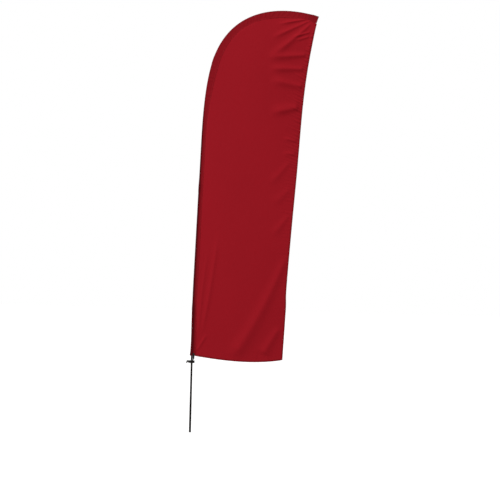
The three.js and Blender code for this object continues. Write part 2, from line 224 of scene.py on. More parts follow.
def cloth_look(name, colour, showthrough_and_shade=False, fold_edge_shade=None):
    """Plain-weave polyester. For the sleeve and its patches, a darker tone is painted where the cloth
    lies on the pole,
    from a point attribute: partly the pole's black showing through, partly painted shade. For a hem, the
    last argument gives where a painted shade line along the folded edge starts and ends."""
    look = Look(name, 0.78, Sheen_Weight=0.02, Sheen_Roughness=0.4, Specular_IOR_Level=0.08)
    look.shader.inputs["Sheen Tint"].default_value = (0.9, 0.25, 0.25, 1)
    drift = look.noise(2.2, 3.0)
    slub = look.noise(260, 2.0, "UV", (1, 0.06, 1))
    mixed = look.math("ADD", look.math("MULTIPLY", drift, 0.5), look.math("MULTIPLY", slub, 0.5))
    tone = look.blend(look.scaled(mixed, 0, 1, 0.3, 0.7), shade(colour, 0.96), shade(colour, 1.04))
    if showthrough_and_shade:
        # Darker where the cloth lies on the pole: partly the pole's black showing through, partly painted
        # shade.
        showthrough_shade_mask = look.add("Attribute", attribute_name="showthrough_and_shade").outputs["Fac"]
        tone = look.blend(showthrough_shade_mask, tone, shade(colour, 0.3))
    if fold_edge_shade:
        # A painted shade line along the hem's round outer fold, darkest at the outline.
        inset = look.add("SeparateXYZ", {"Vector": look.places.outputs["UV"]}).outputs["X"]
        tone = look.blend(look.scaled(inset, 0.55, 0, *fold_edge_shade), tone, shade(colour, 0.45))
    look.feed("Base Color", tone)
    look.feed("Roughness", look.scaled(look.noise(40, 3.0), 0.7, 0.86))
    weave = look.math("MULTIPLY", look.bands(THREAD_PITCH, "X"), look.bands(THREAD_PITCH, "Y"))
    height = look.math("ADD", weave, look.math("MULTIPLY", look.noise(700, 2.0), 0.6))
    look.bump(height, 0.12 * MM, 0.6)
    return look.material


def thread_look():
    """Sewing thread, a little uneven in shade."""
    look = Look("thread", 0.6, Sheen_Weight=0.1, Specular_IOR_Level=0.35)
    tone = look.blend(look.noise(300), shade(CLOTH_RED, 0.75), shade(CLOTH_RED, 1.15))
    look.feed("Base Color", tone)
    return look.material


def pole_look():
    """Black composite rod: fibres run along it under a thin satin resin."""
    look = Look("composite_rod", 0.42, Specular_IOR_Level=0.14)
    streaks = look.noise(900, 3.0, "Object", (1, 1, 0.012))
    worn = look.noise(14, 4.0)
    dark, pale = shade(POLE_BLACK, 0.75), shade(POLE_BLACK, 1.5)
    tone = look.blend(look.scaled(streaks, 0, 1, 0.35, 0.7), dark, pale)
    tone = look.blend(look.scaled(worn, 0, 0.35, 0.6, 0.8), tone, shade(POLE_BLACK, 2.2))
    look.feed("Base Color", tone)
    look.feed("Roughness", look.scaled(worn, 0.34, 0.52, 0.3, 0.75))
    look.bump(streaks, 0.06 * MM, 0.5)
    return look.material


def plastic_look(name, colour, roughness):
    """Moulded plastic with a fine spark-eroded grain, a little paler where it has been handled."""
    look = Look(name, roughness, Specular_IOR_Level=0.18)
    grain = look.noise(2600, 2.0)
    handled = look.noise(60, 4.0)
    tone = look.blend(look.scaled(handled, 0, 1, 0.4, 0.75), shade(colour, 0.85), shade(colour, 1.6))
    look.feed("Base Color", tone)
    look.feed("Roughness", look.scaled(handled, roughness - 0.08, roughness + 0.1, 0.3, 0.7))
    look.bump(grain, 0.05 * MM, 0.6)
    return look.material


def metal_look(name, colour, roughness):
    """Turned metal with fine lines round it."""
    look = Look(name, roughness, Metallic=1.0)
    lines = look.noise(1500, 3.0, "Object", (0.03, 0.03, 1))
    look.feed("Base Color", look.blend(lines, shade(colour, 0.85), shade(colour, 1.1)))
    look.feed("Roughness", look.scaled(lines, roughness - 0.08, roughness + 0.12, 0.3, 0.7))
    look.bump(lines, 0.03 * MM, 0.4)
    return look.material


def rubber_look():
    """Black rubber, greyer where dust sticks to it."""
    look = Look("rubber", 0.9, Specular_IOR_Level=0.3)
    dust = look.noise(90, 5.0)
    clean, dusty = (0.008, 0.007, 0.007), (0.024, 0.022, 0.021)
    look.feed("Base Color", look.blend(look.scaled(dust, 0, 1, 0.5, 0.8), clean, dusty))
    look.feed("Roughness", look.scaled(dust, 0.82, 0.96))
    look.bump(look.noise(1800), 0.06 * MM, 0.6)
    return look.material


def braid_look():
    """Elastic cord in a braided cover: two sets of yarns wound against each other, with painted shade
    between them.
    """
    look = Look("braided_cord", 0.85, Sheen_Weight=0.25, Sheen_Roughness=0.5)
    parts = look.add("SeparateXYZ", {"Vector": look.places.outputs["UV"]})
    across = look.math("MULTIPLY", parts.outputs["X"], 2 * math.pi * YARNS)
    along = look.math("MULTIPLY", parts.outputs["Y"], 2 * math.pi / YARN_PITCH)
    one = look.math("SINE", look.math("ADD", along, across), 0)
    other = look.math("SINE", look.math("SUBTRACT", along, across), 0)
    yarns = look.math("MAXIMUM", one, other)
    # Painted shade: darker in the hollows between the yarns than on their crowns.
    tone = look.blend(look.scaled(yarns, 0, 1, -0.2, 1), (0.005, 0.0045, 0.0045), (0.022, 0.019, 0.019))
    look.feed("Base Color", tone)
    look.feed("Roughness", look.scaled(look.noise(300), 0.78, 0.92))
    look.bump(yarns, 0.18 * MM, 0.8)
    return look.material


def webbing_look():
    """Narrow webbing: ribs across it, and finer ones along it, with painted shade in the hollows between
    them.
    """
    look = Look("webbing_weave", 0.88, Sheen_Weight=0.2, Sheen_Roughness=0.5)
    crosswise = look.bands(1.3 * MM, "Y")
    ribs = look.math("ADD", crosswise, look.math("MULTIPLY", look.bands(0.9 * MM, "X"), 0.6))
    # Painted shade: the hollows between the ribs are coloured darker than their crowns.
    recess_shade, crown = (0.006, 0.005, 0.005), (0.019, 0.016, 0.016)
    look.feed("Base Color", look.blend(look.scaled(ribs, 0, 1, 0, 1.6), recess_shade, crown))
    look.feed("Roughness", look.scaled(look.noise(200), 0.8, 0.94))
    look.bump(ribs, 0.2 * MM, 0.8)
    return look.material


panel_red = cloth_look("flag_cloth_plain", CLOTH_RED)
# The sleeve's red is the flag red painted a little darker, and the cuff's and pocket's darker still:
# painted shade for their double layers.
sleeve_red_shaded = cloth_look("flag_cloth_sleeve_painted_shade", shade(CLOTH_RED, 0.94), showthrough_and_shade=True)
# The hem cloth carries painted shade: a darker red, and a darker line along its folded edge.
hem_red_shaded = cloth_look("hem_cloth_folded_painted_shade", HEM_RED_SHADED, fold_edge_shade=(0.5 * MM, 5 * MM))
patch_red_shaded = cloth_look("patch_cloth_double_painted_shade", shade(CLOTH_RED, 0.82), showthrough_and_shade=True)
thread_red = thread_look()
rod_black = pole_look()
plastic_black = plastic_look("moulded_black", (0.0135, 0.011, 0.0105), 0.5)
nylon_grey = plastic_look("moulded_nylon", (0.045, 0.042, 0.038), 0.55)
alloy = metal_look("turned_alloy", (0.27, 0.28, 0.29), 0.38)
steel = metal_look("zinc_steel", (0.42, 0.42, 0.42), 0.34)
rubber = rubber_look()
braid = braid_look()
webbing = webbing_look()


# ---- Mesh helpers ----

def finish_piece(name, mesh, material, body, hides=()):
    """A visible piece, which rides on a body when one is given."""
    mesh.name = name
    piece = add_object(name, mesh)
    mesh.materials.append(material)
    mesh.polygons.foreach_set("use_smooth", [True] * len(mesh.polygons))
    if body:
        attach(piece, body)
    if hides:
        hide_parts(*hides)
    return piece


def grid_mesh(points, coords, wrap=False, capped=False, loop=False):
    """A mesh over rows and columns of points. wrap joins the last column to the first, and loop the
    last row to the first. coords, the UVs in metres, then have one column or row more."""
    rows, columns = points.shape[:2]
    index = np.arange(rows * columns).reshape(rows, columns)
    ring = np.hstack([index, index[:, :1]]) if wrap else index
    ring = np.vstack([ring, ring[:1]]) if loop else ring
    corners = [ring[:-1, :-1], ring[:-1, 1:], ring[1:, 1:], ring[1:, :-1]]
    faces = np.stack(corners, axis=-1).reshape(-1, 4).tolist()
    places = [coords[:-1, :-1], coords[:-1, 1:], coords[1:, 1:], coords[1:, :-1]]
    uvs = np.stack(places, axis=2).reshape(-1, 2)
    if capped:
        faces += [index[0, ::-1].tolist(), index[-1].tolist()]
        uvs = np.vstack([uvs, coords[0, :columns][::-1], coords[-1, :columns]])
    mesh = bpy.data.meshes.new("grid")
    mesh.from_pydata(points.reshape(-1, 3).tolist(), [], faces)
    mesh.uv_layers.new(name="UVMap").data.foreach_set("uv", uvs.ravel())
    return mesh


def face_outwards(mesh, sharp=None):
    """Turns a closed mesh's faces outwards, and keeps edges hard that are sharper than an angle."""
    work = bmesh.new()
    work.from_mesh(mesh)
    bmesh.ops.recalc_face_normals(work, faces=work.faces[:])
    work.to_mesh(mesh)
    work.free()
    if sharp:
        mesh.set_sharp_from_angle(angle=math.radians(sharp))
    return mesh


LATHE_SIDES = 56


def lathe_mesh(profile):
    """A ring about +Z from a closed profile of radius and height in millimetres."""
    ring = np.array(profile, float) * MM
    turn = np.linspace(0, 2 * np.pi, LATHE_SIDES + 1)
    radius, height = ring[:, :1], ring[:, 1:]
    points = together(radius * np.cos(turn[:-1]), radius * np.sin(turn[:-1]), height)
    girth = distances(np.vstack([ring, ring[:1]]))
    coords = together(turn * ring[:, 0].max(), girth[:, None])
    return face_outwards(grid_mesh(points, coords, wrap=True, loop=True), sharp=40)


def make_sheet(name, mesh, material, node, thickness):
    """A piece of the flag, from a mesh of one layer that gets a thickness."""
    piece = finish_piece(name, mesh, material, "flag", [node])
    solid = piece.modifiers.new("thickness", "SOLIDIFY")
    solid.thickness = thickness
    solid.offset = 0
    return piece


def together(*parts):
    """Coordinates that are given apart, as points along a last axis."""
    return np.stack(np.broadcast_arrays(*parts), axis=-1)


def distances(points):
    """How far each point of a line is along it."""
    steps = np.linalg.norm(np.diff(points, axis=0), axis=1)
    return np.concatenate([[0], np.cumsum(steps)])


def read_line(places, line):
    """Points at distances along a line."""
    reach = distances(line)
    return together(*[np.interp(places, reach, line[:, k]) for k in range(3)])


def smoothstep(value, low, high):
    t = np.clip((value - low) / (high - low), 0, 1)
    return t * t * (3 - 2 * t)


def mix(a, b, t):
    return a + (b - a) * t


# ---- Curves that the cloth and the pole follow, as in the CAD ----

PATH_SAMPLES = 6001


class Path:
    """A flat curve in X and Z, read by the distance along it."""

    def __init__(self, points):
        reach = distances(points)
        self.length = reach[-1]
        self.reach = np.linspace(0, self.length, PATH_SAMPLES)
        self.place = [np.interp(self.reach, reach, points[:, k]) for k in (0, 1)]
        along = np.stack([np.gradient(part, self.reach) for part in self.place])
        self.along = along / np.linalg.norm(along, axis=0)

    def at(self, s):
        return tuple(np.interp(s, self.reach, part) for part in self.place)

    def heading(self, s):
        return tuple(np.interp(s, self.reach, part) for part in self.along)

    def inset(self, s, distance):
        """The point at s, moved to the left of the way the curve runs."""
        x, z = self.at(s)
        along_x, along_z = self.heading(s)
        return x - along_z * distance, z + along_x * distance


def bezier(points):
    a, b, c, d = (np.array(p, float) for p in points)
    t = np.linspace(0, 1, 400)[:, None]
    return a * (1 - t) ** 3 + 3 * b * t * (1 - t) ** 2 + 3 * c * t ** 2 * (1 - t) + d * t ** 3


def bend(start, start_angle, end, end_angle, handles):
    """A curve that leaves start and reaches end at angles from the upright."""
    a, b = np.array(start), np.array(end)
    out = np.array([math.sin(start_angle), math.cos(start_angle)])
    into = np.array([math.sin(end_angle), math.cos(end_angle)])
    return bezier([a, a + out * handles[0], b - into * handles[1], b])


def hermite(start, end, leave, arrive, steps):
    """Points from start up to end, on a cubic with these tangents there."""
    t = np.linspace(0, 1, steps, endpoint=False)[:, None]
    cube = 2 * start - 2 * end + leave + arrive
    square = 3 * end - 3 * start - 2 * leave - arrive
    return cube * t ** 3 + square * t ** 2 + leave * t + start


def spline(points):
    """A Catmull-Rom curve through points, with its ends repeated."""
    known = np.array(points, float)
    padded = np.vstack([known[:1], known, known[-1:]])
    parts = [hermite(p1, p2, (p2 - p0) / 2, (p3 - p1) / 2, 120)
             for p0, p1, p2, p3 in zip(padded, padded[1:], padded[2:], padded[3:])]
    return np.vstack(parts + [known[-1:]])


LEAN = math.radians(1.7)
SHOULDER_ANGLE = math.radians(27.1)
END_ANGLE = math.radians(108.6)
UPRIGHT_TOP = (0.0, 1.05)
LEAN_START = (0.0036, 1.3)
ARCH_START = (0.0355, 2.4)
SHOULDER = (0.165, 3.298)
POLE_END = (0.994, 3.574)

pole_line = Path(np.vstack([
    [(0.0, 0.0)],
    bend(UPRIGHT_TOP, 0, LEAN_START, LEAN, (0.11, 0.11)),
    bend(ARCH_START, LEAN, SHOULDER, SHOULDER_ANGLE, (0.266, 0.25)),
    bend(SHOULDER, SHOULDER_ANGLE, POLE_END, END_ANGLE, (0.485, 0.097))[1:],
]))
POLE_LENGTH = pole_line.length

trailing_edge = Path(spline([
    (0.774, 0.634), (0.792, 1.06), (0.793, 1.25), (0.823, 1.75), (0.859, 2.26),
    (0.891, 2.775), (0.926, 3.118), (0.979, 3.444), (1.009, 3.564),
]))
bottom_edge = Path(bezier([(0.025, 0.652), (0.27, 0.617), (0.52, 0.59), (0.774, 0.634)]))

MOUTH = 0.655
CUFF_TOP = MOUTH + 0.025
POCKET_FROM = POLE_LENGTH - 0.075
POCKET_TO = POLE_LENGTH + 0.015
PANEL_FROM = 0.67
PANEL_TO = POLE_LENGTH - 0.006
TRAILING_HEM_TOP = 0.982         # shares of the two outlines at which the hems meet the pocket and
BOTTOM_HEM_END = 0.976           # the trailing hem
SEAM_GAP = 0.001
TUCK = 0.010                     # the panel's border lies inside the hem, this far from the outline
CLOTH = 0.6 * MM


def beside_pole(s, x):
    """X and Z at a distance along the pole, moved by x towards the panel."""
    inside = np.clip(s, 0, POLE_LENGTH)
    place_x, place_z = pole_line.at(inside)
    along_x, along_z = pole_line.heading(inside)
    over = s - inside
    return place_x + along_x * over + along_z * x, place_z + along_z * over - along_x * x


def seam_at(s):
    """How far the sleeve's seam is from the pole's middle."""
    return mix(0.024, 0.048, smoothstep(s, 2.5, 3.15))


# ---- How the cloth stands off the flag's plane. Towards the front is -Y. ----

# Creases that the pull of the pole and of the hems sets in the panel: from x, z to x, z, how far the
# middle bows, the half width at the two ends, the lower flank's share of that width, the steepness,
# and the shares of the length over which it fades in and out.
CREASES = [
    # The fan from the tip
    (0.96, 3.56, 0.64, 3.50, 0.000, 0.005, 0.016, 0.80, 0.95, 0.05, 0.45),
    (0.96, 3.55, 0.59, 3.372, 0.000, 0.006, 0.026, 0.75, 0.58, 0.05, 0.40),
    (0.95, 3.52, 0.57, 3.20, 0.010, 0.010, 0.040, 0.75, 0.47, 0.08, 0.45),
    (0.94, 3.44, 0.78, 3.39, 0.000, 0.007, 0.013, 0.80, 0.80, 0.10, 0.50),
    (0.93, 3.40, 0.80, 3.36, 0.000, 0.007, 0.013, 0.80, 0.70, 0.10, 0.50),
    # Waves that run in from the free edge below it
    (0.92, 3.245, 0.57, 3.215, 0.000, 0.020, 0.038, 0.65, 0.46, 0.10, 0.40),
    (0.90, 3.125, 0.58, 3.12, 0.000, 0.020, 0.036, 0.70, 0.46, 0.10, 0.40),
    (0.89, 2.97, 0.60, 3.03, 0.000, 0.022, 0.036, 0.85, 0.44, 0.10, 0.40),
    (0.87, 2.80, 0.60, 2.74, 0.000, 0.040, 0.050, 0.50, 0.32, 0.15, 0.45),
    (0.86, 2.51, 0.71, 2.53, 0.000, 0.014, 0.022, 0.75, 0.32, 0.20, 0.50),
    (0.85, 2.40, 0.72, 2.40, 0.000, 0.014, 0.022, 0.80, 0.32, 0.20, 0.50),
    # Diagonals on the free side
    (0.80, 2.34, 0.61, 2.12, 0.005, 0.020, 0.040, 0.70, 0.18, 0.20, 0.40),
    (0.81, 2.11, 0.65, 1.95, 0.000, 0.022, 0.044, 0.80, 0.15, 0.20, 0.40),
    (0.80, 1.88, 0.65, 1.68, 0.000, 0.020, 0.038, 0.80, 0.19, 0.20, 0.40),
    # The long fold down to the foot, and a short one beside it
    (0.79, 1.54, 0.34, 0.63, 0.030, 0.030, 0.064, 0.75, 0.25, 0.12, 0.12),
    (0.75, 0.93, 0.60, 0.67, 0.000, 0.026, 0.046, 0.75, 0.26, 0.25, 0.15),
    # Steep folds over the lower corner at the pole
    (0.20, 1.74, 0.07, 0.80, 0.012, 0.018, 0.020, 0.75, 0.27, 0.30, 0.25),
    (0.12, 1.60, 0.05, 0.78, -0.012, 0.014, 0.014, 0.75, 0.21, 0.30, 0.25),
    (0.13, 0.85, 0.04, 0.70, 0.000, 0.014, 0.009, 0.80, 0.36, 0.40, 0.10),
]
UPPER_FLANK = 0.95
LOWER_FLANK = 1.3
CREASE_RISE = 0.85
CREST_SHARPNESS = 1.8            # 2 is a bell curve, and less makes a sharper crest


def crease_height(x, z, crease):
    """How far one crease stands out at a place."""
    x0, z0, x1, z1, bow, width0, width1, lower, steepness, fade_in, fade_out = crease
    length = math.hypot(x1 - x0, z1 - z0)
    along_x, along_z = (x1 - x0) / length, (z1 - z0) / length
    t = ((x - x0) * along_x + (z - z0) * along_z) / length
    off = (z - z0) * along_x - (x - x0) * along_z
    inside = np.clip(t, 0, 1)
    off = off - bow * 4 * inside * (1 - inside)
    width = mix(width0, width1, inside)
    flank = np.where(off < 0, width * UPPER_FLANK, width * lower * LOWER_FLANK)
    window = smoothstep(t, 0, fade_in) * (1 - smoothstep(t, 1 - fade_out, 1))
    return CREASE_RISE * steepness * width * np.exp(-np.abs(off / flank) ** CREST_SHARPNESS) * window


BELLY = 0.017
FLUTTER = 0.014


def billow(u, v):
    """The belly towards the front, and a slow wave that grows towards the free edge."""
    belly = -BELLY * np.sin(np.pi * u) * np.sin(np.pi * (0.1 + 0.8 * v))
    return belly + FLUTTER * u * u * np.sin(np.pi * (3 * v + 0.4))


def puckers(first, last, closest, furthest):
    """Random places from first to last, each with a half width, a length and a height of its own."""
    places = []
    at = first
    while at < last:
        width, reach = random.uniform(6, 9) * MM, random.uniform(0.03, 0.09)
        places.append((at, width, reach, random.uniform(0.4, 1)))
        at += random.uniform(closest, furthest)
    return places


hem_puckers = puckers(0.3, 2.95, 0.017, 0.036)
seam_puckers = puckers(2.35, POLE_LENGTH - 0.08, 0.018, 0.05)
foot_puckers = puckers(0.05, 0.7, 0.04, 0.11)
ripples = [(random.uniform(5, 13), random.uniform(3, 9), random.uniform(0, 6.3)) for _ in range(7)]

# About how wide and how tall the panel is, to turn u and v into distances from its borders
WIDTH_FROM_SEAM = 0.75
WIDTH_FROM_HEM = 0.77
HEIGHT = 2.9
HEM_PUCKER = (0.8 * MM, 7.5 * MM)     # their height low down and near the tip
HEM_PUCKER_INSET = 0.02
SEAM_PUCKER = 1.5 * MM
FOOT_PUCKER = 1.2 * MM
RIPPLE = 0.5 * MM
HELD_BY_SEAM = 10 * MM
HELD_BY_TIP = 35 * MM


def bell(off, spread):
    return np.exp(-(off / spread) ** 2)


def panel_height(x, z, u, v):
    """How far the panel stands off at a place: the belly, the creases, and the puckers at its borders."""
    across = WIDTH_FROM_SEAM * u
    inward = WIDTH_FROM_HEM * (1 - u)
    from_foot = HEIGHT * v
    from_tip = HEIGHT * (1 - v)
    up_hem = trailing_edge.length * TRAILING_HEM_TOP * v
    up_seam = mix(PANEL_FROM, PANEL_TO, v)
    raised = np.zeros_like(x)
    for crease in CREASES:
        raised += crease_height(x, z, crease)
    for kx, kz, phase in ripples:
        raised += RIPPLE * np.sin(kx * x + kz * z + phase)
    for at, width, reach, size in hem_puckers:
        grown = size * mix(*HEM_PUCKER, smoothstep(at, 0.9, 2.9))
        along = up_hem - at + 0.25 * inward
        raised += grown * bell(along, width) * bell(inward - HEM_PUCKER_INSET, reach)
    for at, width, reach, size in seam_puckers:
        grown = size * SEAM_PUCKER * smoothstep(at, 2.3, 3.0)
        along = up_seam - at + 0.5 * across
        raised += grown * bell(along, width) * bell(across, reach / 1.6)
    for at, width, reach, size in foot_puckers:
        raised += size * FOOT_PUCKER * bell(across - at, width * 1.5) * bell(from_foot, reach)
    free_of_seam = 1 - bell(across, HELD_BY_SEAM)
    free_of_tip = 1 - bell(from_tip, HELD_BY_TIP)
    return (billow(u, v) - raised * free_of_seam) * free_of_tip


def panel_place(u, v):
    """X and Z of the panel at u from the seam to the free edge, and v from the foot to the tip."""
    s = mix(PANEL_FROM, PANEL_TO, v)
    luff_x, luff_z = beside_pole(s, seam_at(s) + SEAM_GAP)
    trail_x, trail_z = trailing_edge.inset(v * TRAILING_HEM_TOP * trailing_edge.length, TUCK)
    left_z = beside_pole(np.array(PANEL_FROM), seam_at(PANEL_FROM) + SEAM_GAP)[1]
    right_z = trailing_edge.inset(0.0, TUCK)[1]
    hem_z = bottom_edge.inset(u * BOTTOM_HEM_END * bottom_edge.length, TUCK)[1]
    sag = hem_z - mix(left_z, right_z, u)
    return mix(luff_x, trail_x, u), mix(luff_z, trail_z, u) + sag * (1 - v) ** 4


# ---- The panel ----

PANEL_COLUMNS = 120
PANEL_ROWS = 640
CROWDING = 0.45                  # how much narrower the columns are at the two sides


def make_panel():
    """Cells of about 5 mm up and 6 mm across, narrower at the two sides, where the puckers are."""
    even = np.linspace(0, 1, PANEL_COLUMNS + 1)
    columns = even - CROWDING * np.sin(2 * np.pi * even) / (2 * np.pi)
    rows = np.linspace(0, 1, PANEL_ROWS + 1)
    u, v = np.meshgrid(columns, rows)
    x, z = panel_place(u, v)
    mesh = grid_mesh(together(x, panel_height(x, z, u, v), z), together(x, z))
    return make_sheet("panel_cloth", mesh, panel_red, "flag_panel", CLOTH)


# ---- Hems ----

# Half of a folded hem's section: distance in from the outline, and half thickness, in millimetres.
# The outer fold is round, the stitches pull a channel, and the turned edge lies on the panel.
HEM_SECTION = [
    (0.0, 0.0), (0.25, 0.7), (1.1, 1.15), (3.0, 1.2), (6.5, 1.05), (9.5, 1.05),
    (11.2, 0.95), (12.0, 0.72), (12.8, 0.95), (14.2, 1.0), (15.0, 0.75), (15.2, 0.35),
]
STITCH_INSET = 0.012
HEM_SWELL = 0.12
SWELL_SPACING = 0.021
SWELL_BEAT = 57                  # how fast the swelling comes and goes along the hem


def make_hem(edge, share_to, place, steps):
    """A folded hem along an edge. place(share, inset) gives x, z and how far the cloth stands off."""
    upper = np.array(HEM_SECTION) * MM
    lower = upper[1:] * [1, -1]
    ring = np.vstack([upper, lower[::-1]])
    share = np.linspace(0, share_to, steps)[:, None]
    x, z, y = place(share, ring[:, 0])
    along = share * edge.length
    swell = 1 + HEM_SWELL * np.sin(along / SWELL_SPACING * np.pi) * np.sin(share * SWELL_BEAT)
    points = together(x, y - ring[:, 1] * swell, z)
    coords = together(np.append(ring[:, 0], 0), along)
    return grid_mesh(points, coords, wrap=True, capped=True)


def hem_place(edge, share, inset, u, v):
    """X, Z and the stand-off of a hem, at a share of its edge and a distance in from it."""
    share, inset, u, v = np.broadcast_arrays(share, inset, u, v)
    x, z = edge.inset(share * edge.length, inset)
    border_x, border_z = edge.inset(share * edge.length, TUCK)
    return x, z, panel_height(border_x, border_z, u, v)


def trailing_place(share, inset):
    return hem_place(trailing_edge, share, inset, 1.0, share / TRAILING_HEM_TOP)


def foot_place(share, inset):
    return hem_place(bottom_edge, share, inset, np.clip(share / BOTTOM_HEM_END, 0, 1), 0.0)


# ---- Sleeve ----

# The radius that the sleeve has to pass over, by distance along the pole: tubes, ferrules and tip cap
GIRTH = [
    (MOUTH, 8.4), (0.86, 8.5), (0.9, 9.2), (1.05, 9.2), (1.13, 5.9), (2.05, 5.4), (2.07, 6.6),
    (2.1, 6.6), (2.17, 4.1), (3.15, 3.8), (3.17, 5.0), (3.2, 5.0), (3.26, 2.8),
    (POLE_LENGTH - 0.045, 2.3), (POLE_LENGTH - 0.027, 4.3), (POLE_LENGTH + 0.006, 4.3),
    (POLE_LENGTH + 0.013, 0.8), (POCKET_TO, 0.5),
]
ALLOWANCE = 0.008
SEAM_HALF = 0.8 * MM
SLEEVE_EASE = 0.9 * MM           # how far the cloth's middle stays off what it passes over
MOUTH_EASE = 2.2 * MM            # how much further off at the open mouth
MOUTH_SLACK = 5.5 * MM           # and further again there at the outer fold
MOUTH_FADE = 0.085               # both fade over this length up the pole
FLAT_BULGE = 0.5 * MM
PATCH_OUT = 0.75 * MM            # how far the cuff and the pocket lie outside the sleeve
PATCH_CLOTH = 0.9 * MM


def girth_at(s):
    """The radius under the sleeve, which bridges to wider parts a little before and after them."""
    places, radii = zip(*GIRTH)
    near = [np.interp(s + shift, places, radii) for shift in (-0.006, 0, 0.006)]
    return np.maximum.reduce(near) * MM


def band_puckers():
    """Short slanting puckers across the band, mostly round the arch."""
    places = []
    at = 0.75
    while at < POLE_LENGTH - 0.1:
        arch = float(smoothstep(at, 2.2, 3.1))
        width, slant = random.uniform(5, 9) * MM, random.uniform(-0.9, 0.2)
        size = mix(0.5, 3.2, arch) * random.uniform(0.5, 1) * MM
        places.append((at, width, slant, size))
        at += random.uniform(0.03, 0.07) * mix(2.2, 0.8, arch)
    return places


front_puckers = band_puckers()
back_puckers = band_puckers()


def mouth_share(s):
    """How near the open mouth s is, from 1 there to 0 further up."""
    return np.exp(-(s - MOUTH) / MOUTH_FADE)


def sleeve_depth(s):
    """How far the sleeve's cloth is from the pole's middle, where it lies round it."""
    return girth_at(s) + SLEEVE_EASE + MOUTH_EASE * mouth_share(s)


def sleeve_section(s, out, wrinkles):
    """Half of the teardrop at each s, from the seam's border to the outer fold: x, and how far it
    stands off the pole's plane. out is how far outside the sleeve this layer lies."""
    s = s[:, None]
    depth = sleeve_depth(s) + out
    reach = depth + MOUTH_SLACK * mouth_share(s)
    seam = seam_at(s)
    edge = SEAM_HALF + out
    allowance_x = seam + ALLOWANCE * np.linspace(1, 0, 4)
    allowance_y = np.full_like(allowance_x, edge)
    start = np.arccos(np.clip(depth / seam, 0, 0.98))
    flat = np.linspace(0, 1, 9)[1:-1]
    flat_x = mix(seam, depth * np.cos(start), flat)
    flat_y = mix(edge, depth * np.sin(start), flat) + FLAT_BULGE * np.sin(np.pi * flat)
    for at, width, slant, size in wrinkles:
        shift = (s - at) - slant * (flat_x - seam / 2)
        flat_y = flat_y + size * bell(shift, width) * np.sin(np.pi * flat) ** 0.8
    angle = start + (np.pi - start) * np.linspace(0, 1, 11)
    round_x = np.where(np.cos(angle) > 0, depth, reach) * np.cos(angle)
    round_y = depth * np.sin(angle)
    x = np.hstack([allowance_x, flat_x, round_x])
    y = np.hstack([allowance_y, flat_y, round_y])
    return x, y


ARCH_SHADE_SHARE = 0.22                 # how much of the darkening on the pole, the pole's black showing through and painted shade, is kept round the arch
FOLD_PAINTED_SHADE = 0.24                   # painted shade added towards the round outer fold of the double layer
# how fast the darkening fades beyond where the cloth leaves the pole
SHOWTHROUGH_FADE = 4.5 * MM


def sleeve_strip(first, last, step, out=0.0):
    """A strip of cloth from the front of the seam round the pole to the back of the seam."""
    rows = np.linspace(first, last, int(round((last - first) / step)) + 1)
    front_x, front_y = sleeve_section(rows, out, front_puckers)
    back_x, back_y = sleeve_section(rows, out, back_puckers)
    across = np.hstack([front_x, back_x[:, -2::-1]])
    off = np.hstack([-front_y, back_y[:, -2::-1]])
    x, z = beside_pole(rows[:, None], across)
    points = together(x, off, z)
    steps = np.hypot(np.diff(across, axis=1), np.diff(off, axis=1))
    girth = np.hstack([np.zeros((len(rows), 1)), np.cumsum(steps, axis=1)])
    middle = girth[:, front_x.shape[1] - 1]
    coords = together(girth - middle[:, None], rows[:, None])
    mesh = grid_mesh(points, coords)
    # The darker tone on the sleeve: partly the pole's black showing through, partly painted shade, fading
    # beyond the pole and strongest towards the outer fold.
    band = mix(1, ARCH_SHADE_SHARE, smoothstep(rows, 2.35, 3.0))[:, None]
    beyond = across - girth_at(rows)[:, None]
    fold_painted_shade = FOLD_PAINTED_SHADE * (1 - np.clip(across / (seam_at(rows)[:, None] + ALLOWANCE), 0, 1))
    showthrough_shade_mask = np.clip(band * np.exp(-np.clip(beyond, 0, 1) / SHOWTHROUGH_FADE) + fold_painted_shade, 0, 1)
    mesh.attributes.new("showthrough_and_shade", "FLOAT", "POINT").data.foreach_set("value", showthrough_shade_mask.ravel())
    return mesh


panel = make_panel()
trailing_hem = finish_piece(
    "trailing_hem_fold", make_hem(trailing_edge, TRAILING_HEM_TOP, trailing_place, 520),
    hem_red_shaded, "flag", ["trailing_hem"])
bottom_hem = finish_piece(
    "bottom_hem_fold", make_hem(bottom_edge, BOTTOM_HEM_END + 0.006, foot_place, 140),
    hem_red_shaded, "flag", ["bottom_hem"])
sleeve = make_sheet(
    "sleeve_cloth", sleeve_strip(MOUTH + 0.002, POLE_LENGTH - 0.06, 0.006),
    sleeve_red_shaded, "pole_sleeve", CLOTH)
cuff = make_sheet(
    "cuff_cloth", sleeve_strip(MOUTH, CUFF_TOP, 0.0025, PATCH_OUT),
    patch_red_shaded, "sleeve_cuff", PATCH_CLOTH)
pocket = make_sheet(
    "pocket_cloth", sleeve_strip(POCKET_FROM, POCKET_TO, 0.003, PATCH_OUT),
    patch_red_shaded, "tip_pocket", PATCH_CLOTH)


# ---- Stitches: short bars of thread whose ends dip into the cloth ----

STITCH_RADIUS = 0.32 * MM
STITCH_LIFT = np.array([-0.35, 0.22, 0.34, 0.22, -0.35]) * MM
STITCH_GIRTH = np.array([0.7, 0.95, 1.0, 0.95, 0.7]) * STITCH_RADIUS
FRONT = np.array([0.0, -1.0, 0.0])
SEAM_ROWS = (0.0022, 0.0062)     # how far outside the seam its two rows of stitches are
BOTH_FACES = (1, -1)             # the front and the back


